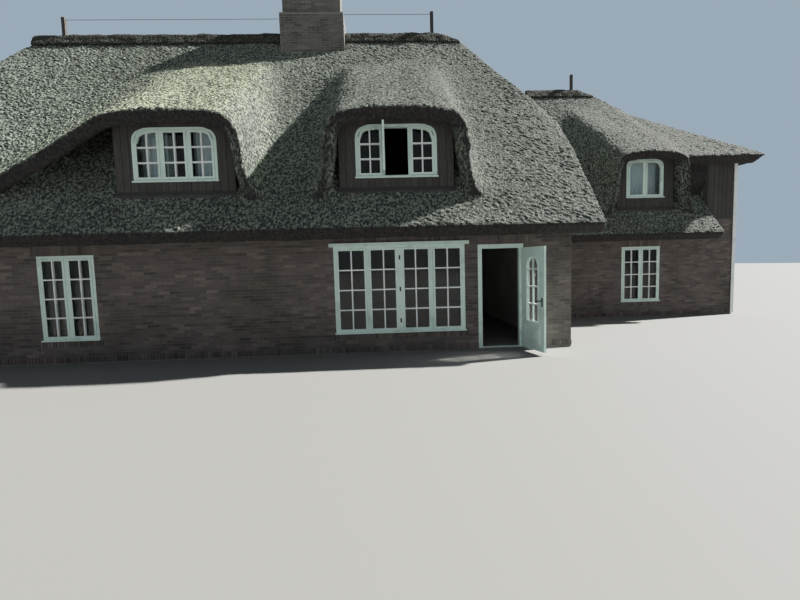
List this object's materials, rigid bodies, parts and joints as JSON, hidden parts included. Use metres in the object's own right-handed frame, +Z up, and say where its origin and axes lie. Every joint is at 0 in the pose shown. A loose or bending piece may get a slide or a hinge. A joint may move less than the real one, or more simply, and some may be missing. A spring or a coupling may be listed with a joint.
{
  "type": "thatched cottage",
  "caption": "Thatched brick cottage with hooded dormers, a chimney, half-hipped ends, a staggered wing and a hinged front door.",
  "frame": {"origin": "on the ground, at the centre of the main range's footprint", "axes": "+X to the right along the front wall, +Y into the house, +Z up"},
  "size_m": [22.9, 14.1661, 10],
  "materials": {
    "thatch": "weathered water reed thatch, matt",
    "ridge_heather": "dark heather ridge capping, matt",
    "brick": "dark red-brown brick with grey joints",
    "chimney_brick": "grey-brown weathered brick",
    "dark_boards": "dark stained boards",
    "painted_wood": "pale greenish white paint, satin",
    "glass": "clear window glass",
    "slab": "concrete, matt",
    "floor_boards": "plain floor boards",
    "black_iron": "black iron door furniture"
  },
  "bodies": {
    "house": {"ground_slab": "slab", "attic_floor": "floor_boards", "wing_attic_floor": "floor_boards", "front_wall": "brick", "front_wall_door_pier": "brick", "front_wall_door_lintel": "brick", "back_wall": "brick", "left_gable_wall": "brick", "right_gable_wall": "brick", "wing_front_wall": "brick", "wing_back_wall": "brick", "wing_end_wall": "brick", "wing_party_wall": "brick", "main_roof_front": "thatch", "main_roof_back": "thatch", "left_dormer_hood": "thatch", "right_dormer_hood": "thatch", "back_dormer_hood": "thatch", "wing_dormer_hood": "thatch", "wing_roof_front": "thatch", "wing_roof_back": "thatch", "wing_end_roof": "thatch", "ridge_cap_left": "ridge_heather", "ridge_cap_right": "ridge_heather", "wing_ridge_cap": "ridge_heather", "chimney": "chimney_brick", "ridge_stake_left": "dark_boards", "ridge_stake_right": "dark_boards", "wing_ridge_stake": "dark_boards", "left_dormer_front": "dark_boards", "right_dormer_front": "dark_boards", "back_dormer_front": "dark_boards", "wing_dormer_front": "dark_boards", "left_dormer_window_frame": "painted_wood", "left_dormer_window_glass": "glass", "right_dormer_window_frame": "painted_wood", "right_dormer_window_glass_left": "glass", "right_dormer_window_glass_right": "glass", "right_dormer_open_casement": "painted_wood", "back_dormer_window_frame": "painted_wood", "back_dormer_window_glass": "glass", "wing_dormer_window_frame": "painted_wood", "wing_dormer_window_glass": "glass", "big_window_frame": "painted_wood", "big_window_glass": "glass", "left_window_frame": "painted_wood", "left_window_glass": "glass", "back_window_frame": "painted_wood", "back_window_glass": "glass", "wing_lower_window_frame": "painted_wood", "wing_lower_window_glass": "glass", "door_frame": "painted_wood"},
    "front_door": {"door_leaf": "painted_wood", "door_glass": "glass", "door_handle": "black_iron"}
  },
  "joints": [
    {"name": "front_door_hinge", "type": "hinge", "parent": "house", "child": "front_door", "pos_m": [6.42, -4.216, 0], "axis": [0, 0, 1], "range_deg": [-104, 46]}
  ]
}
